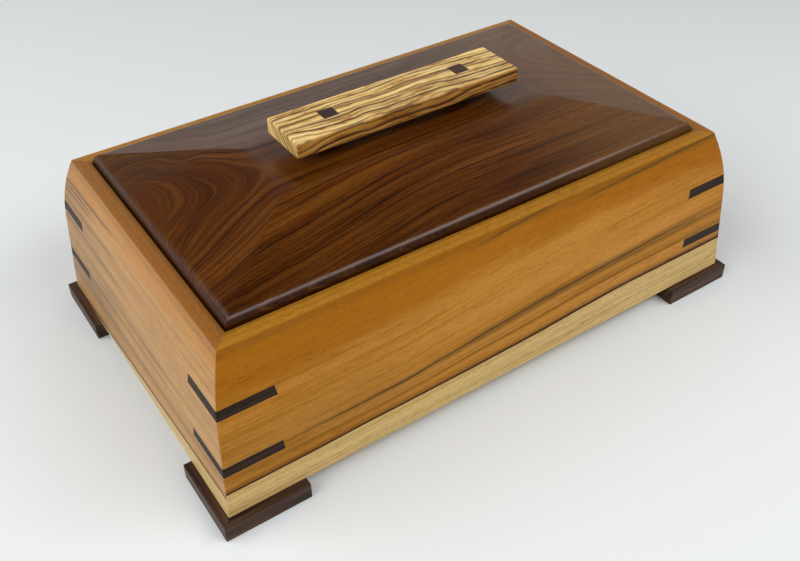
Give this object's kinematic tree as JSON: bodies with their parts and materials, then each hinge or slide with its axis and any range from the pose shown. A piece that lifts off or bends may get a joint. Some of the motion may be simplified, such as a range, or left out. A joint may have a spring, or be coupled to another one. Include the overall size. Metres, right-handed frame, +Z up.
{
  "type": "lidded keepsake box",
  "caption": "Rectangular wooden keepsake box with curved leaning sides, contrasting corner keys, L-shaped feet and a lift-off hipped lid with a bar handle.",
  "frame": {"origin": "on the table under the middle of the box", "axes": "+X along the long side to the right, +Y from the front to the back, +Z up"},
  "size_m": [0.3794, 0.2384, 0.15],
  "materials": {
    "side_wood": "golden orange hardwood, fine straight grain with dark streaks and a pale sapwood band at the bottom, satin oil",
    "key_wood": "very dark brown hardwood, satin oil",
    "foot_wood": "dark brown hardwood, open straight grain, satin oil",
    "panel_wood": "plain light brown panel, matt",
    "lid_wood": "dark red-brown figured hardwood, semi-gloss",
    "bar_wood": "pale gold hardwood with wavy dark brown veins, satin oil"
  },
  "bodies": {
    "box": {"front_side": "side_wood", "back_side": "side_wood", "left_side": "side_wood", "right_side": "side_wood", "bottom_panel": "panel_wood", "key_front_left_upper": "key_wood", "key_front_left_lower": "key_wood", "key_back_left_upper": "key_wood", "key_back_left_lower": "key_wood", "key_front_right_upper": "key_wood", "key_front_right_lower": "key_wood", "key_back_right_upper": "key_wood", "key_back_right_lower": "key_wood", "foot_front_left_long_arm": "foot_wood", "foot_front_left_side_arm": "foot_wood", "foot_back_left_long_arm": "foot_wood", "foot_back_left_side_arm": "foot_wood", "foot_front_right_long_arm": "foot_wood", "foot_front_right_side_arm": "foot_wood", "foot_back_right_long_arm": "foot_wood", "foot_back_right_side_arm": "foot_wood"},
    "lid": {"lid_panel": "lid_wood", "handle_bar": "bar_wood", "handle_post_left": "key_wood", "handle_post_right": "key_wood"}
  },
  "joints": [
    {"name": "lid_lift", "type": "slide", "parent": "box", "child": "lid", "axis": [0, 0, 1], "range_m": [0, 0.12]}
  ]
}
